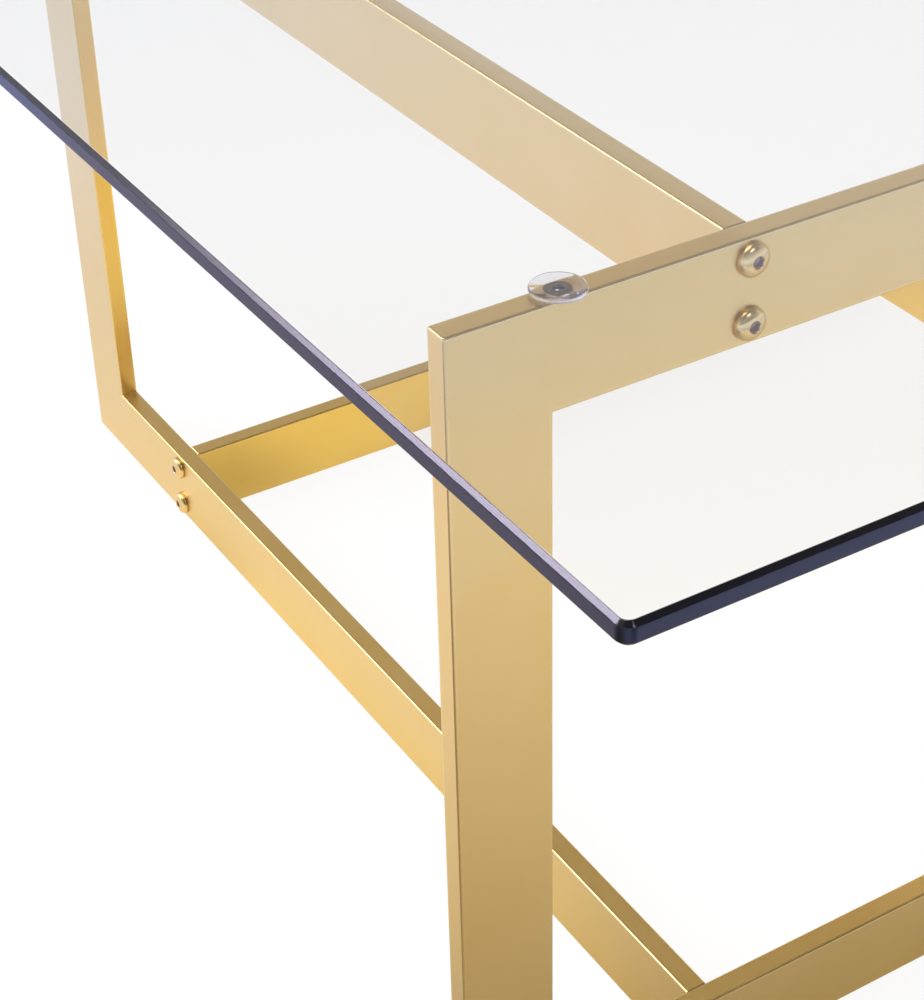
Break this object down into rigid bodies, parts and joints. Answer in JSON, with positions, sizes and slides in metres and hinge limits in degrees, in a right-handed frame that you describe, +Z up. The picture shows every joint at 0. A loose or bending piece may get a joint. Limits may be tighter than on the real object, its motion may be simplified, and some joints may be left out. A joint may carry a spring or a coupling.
{
  "type": "glass-top coffee table",
  "caption": "Low square table with a clear glass top resting loose on a pinwheel base of C-shaped flat metal tube frames bolted together.",
  "frame": {"origin": "on the floor under the centre of the glass top and of the base", "axes": "+Z up; +X and +Y along the sides of the square top; the front frame faces -Y and the right frame faces +X"},
  "size_m": [0.805, 0.805, 0.4],
  "materials": {
    "clear_glass": "polished float glass with ground bevels",
    "brass_finish_tube": "brass-coloured satin coating on steel tube",
    "brass_finish_bolt": "brass-coloured, polished",
    "plain_steel": "plain machined steel, hidden inside the tube",
    "clear_bumper": "clear soft plastic"
  },
  "bodies": {
    "base": {"front_top_rail": "brass_finish_tube", "front_leg": "brass_finish_tube", "front_bottom_rail": "brass_finish_tube", "front_bumper": "clear_bumper", "front_top_plug": "plain_steel", "front_top_bolt_upper": "brass_finish_bolt", "front_top_bolt_lower": "brass_finish_bolt", "front_bottom_plug": "plain_steel", "front_bottom_bolt_upper": "brass_finish_bolt", "front_bottom_bolt_lower": "brass_finish_bolt", "right_top_rail": "brass_finish_tube", "right_leg": "brass_finish_tube", "right_bottom_rail": "brass_finish_tube", "right_bumper": "clear_bumper", "right_top_plug": "plain_steel", "right_top_bolt_upper": "brass_finish_bolt", "right_top_bolt_lower": "brass_finish_bolt", "right_bottom_plug": "plain_steel", "right_bottom_bolt_upper": "brass_finish_bolt", "right_bottom_bolt_lower": "brass_finish_bolt", "back_top_rail": "brass_finish_tube", "back_leg": "brass_finish_tube", "back_bottom_rail": "brass_finish_tube", "back_bumper": "clear_bumper", "back_top_plug": "plain_steel", "back_top_bolt_upper": "brass_finish_bolt", "back_top_bolt_lower": "brass_finish_bolt", "back_bottom_plug": "plain_steel", "back_bottom_bolt_upper": "brass_finish_bolt", "back_bottom_bolt_lower": "brass_finish_bolt", "left_top_rail": "brass_finish_tube", "left_leg": "brass_finish_tube", "left_bottom_rail": "brass_finish_tube", "left_bumper": "clear_bumper", "left_top_plug": "plain_steel", "left_top_bolt_upper": "brass_finish_bolt", "left_top_bolt_lower": "brass_finish_bolt", "left_bottom_plug": "plain_steel", "left_bottom_bolt_upper": "brass_finish_bolt", "left_bottom_bolt_lower": "brass_finish_bolt"},
    "glass": {"glass_top": "clear_glass"}
  },
  "joints": [
    {"name": "glass_lift", "type": "slide", "parent": "base", "child": "glass", "axis": [0, 0, 1], "range_m": [0, 0.1]}
  ]
}
